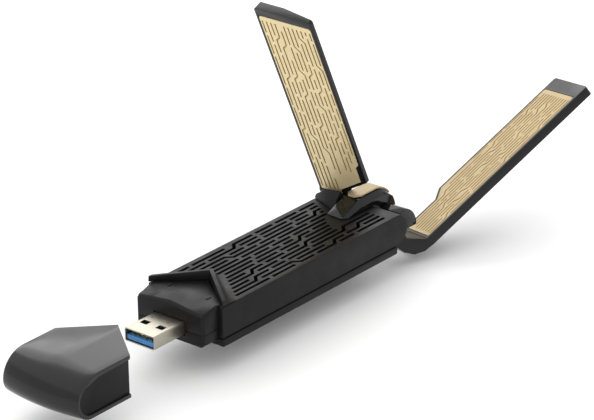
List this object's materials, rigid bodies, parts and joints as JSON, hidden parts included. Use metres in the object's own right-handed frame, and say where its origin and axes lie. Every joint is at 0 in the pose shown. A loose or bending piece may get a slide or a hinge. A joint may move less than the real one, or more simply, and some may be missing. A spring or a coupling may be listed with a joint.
{
  "type": "usb wifi adapter",
  "caption": "Stick-shaped USB wireless adapter with a slotted grille, two hinged antennas with grooved gold-coloured faces and a pull-off plug cap.",
  "frame": {"origin": "middle of the flat underside of the bottom cover", "axes": "+X from the plug to the hinge end, +Z out of the grille, +Y across"},
  "size_m": [0.2384, 0.051, 0.097],
  "materials": {
    "matte_shell": "fine matte texture",
    "antenna_black": "satin",
    "hub_gloss": "polished",
    "cap_shell": "satin",
    "gold_trim": "fine metallic satin",
    "plug_steel": "bright nickel plate",
    "tongue_blue": "moulded",
    "contact_gold": "plated",
    "circuit_board": "solder mask",
    "chip_black": "moulded",
    "shield_steel": "rolled",
    "thermal_pad": "soft",
    "spreader_aluminium": "plain",
    "pin_steel": "ground",
    "coax_jacket": "smooth",
    "liner_black": "moulded"
  },
  "bodies": {
    "adapter": {"antenna_ridge": "matte_shell", "bottom_cover": "matte_shell", "chevron_rim": "matte_shell", "cover_screw_1": "pin_steel", "cover_screw_2": "pin_steel", "cover_screw_3": "pin_steel", "cover_screw_4": "pin_steel", "crystal": "shield_steel", "data_minus_contact": "contact_gold", "data_plus_contact": "contact_gold", "fast_contact_1": "contact_gold", "fast_contact_2": "contact_gold", "fast_contact_3": "contact_gold", "fast_contact_4": "contact_gold", "fast_contact_5": "contact_gold", "flash_chip": "chip_black", "ground_contact": "contact_gold", "heat_spreader": "spreader_aluminium", "hinge_lug": "hub_gloss", "hinge_shoulder": "hub_gloss", "hub_inlay": "gold_trim", "left_coax_lead": "coax_jacket", "left_hinge_pin": "pin_steel", "left_rf_socket": "contact_gold", "main_board": "circuit_board", "neck_collar": "matte_shell", "power_contact": "contact_gold", "power_inductor": "chip_black", "radio_chip": "chip_black", "radio_shield_can": "shield_steel", "rear_hub": "hub_gloss", "right_coax_lead": "coax_jacket", "right_hinge_pin": "pin_steel", "right_rf_socket": "contact_gold", "thermal_pad": "thermal_pad", "top_housing": "matte_shell", "usb_plug_carrier": "chip_black", "usb_shell": "plug_steel", "usb_tongue": "tongue_blue"},
    "left_antenna": {"left_antenna_shell": "antenna_black", "left_gold_panel": "gold_trim", "left_antenna_board": "circuit_board"},
    "right_antenna": {"right_antenna_shell": "antenna_black", "right_gold_panel": "gold_trim", "right_antenna_board": "circuit_board"},
    "cap": {"cap_shell": "cap_shell", "cap_liner": "liner_black"}
  },
  "joints": [
    {"name": "cap_slide", "type": "slide", "parent": "adapter", "child": "cap", "axis": [0.9998, 0, 0.0218], "range_m": [0, 0.04131]},
    {"name": "left_antenna_hinge", "type": "hinge", "parent": "adapter", "child": "left_antenna", "pos_m": [0.0404, 0.0094, 0.0159], "axis": [0, 1, 0], "range_deg": [-15, 45]},
    {"name": "right_antenna_hinge", "type": "hinge", "parent": "adapter", "child": "right_antenna", "pos_m": [0.0488, -0.0099, 0.0004], "axis": [0.4385, 0.8723, -0.2162], "range_deg": [-40, 30]}
  ]
}
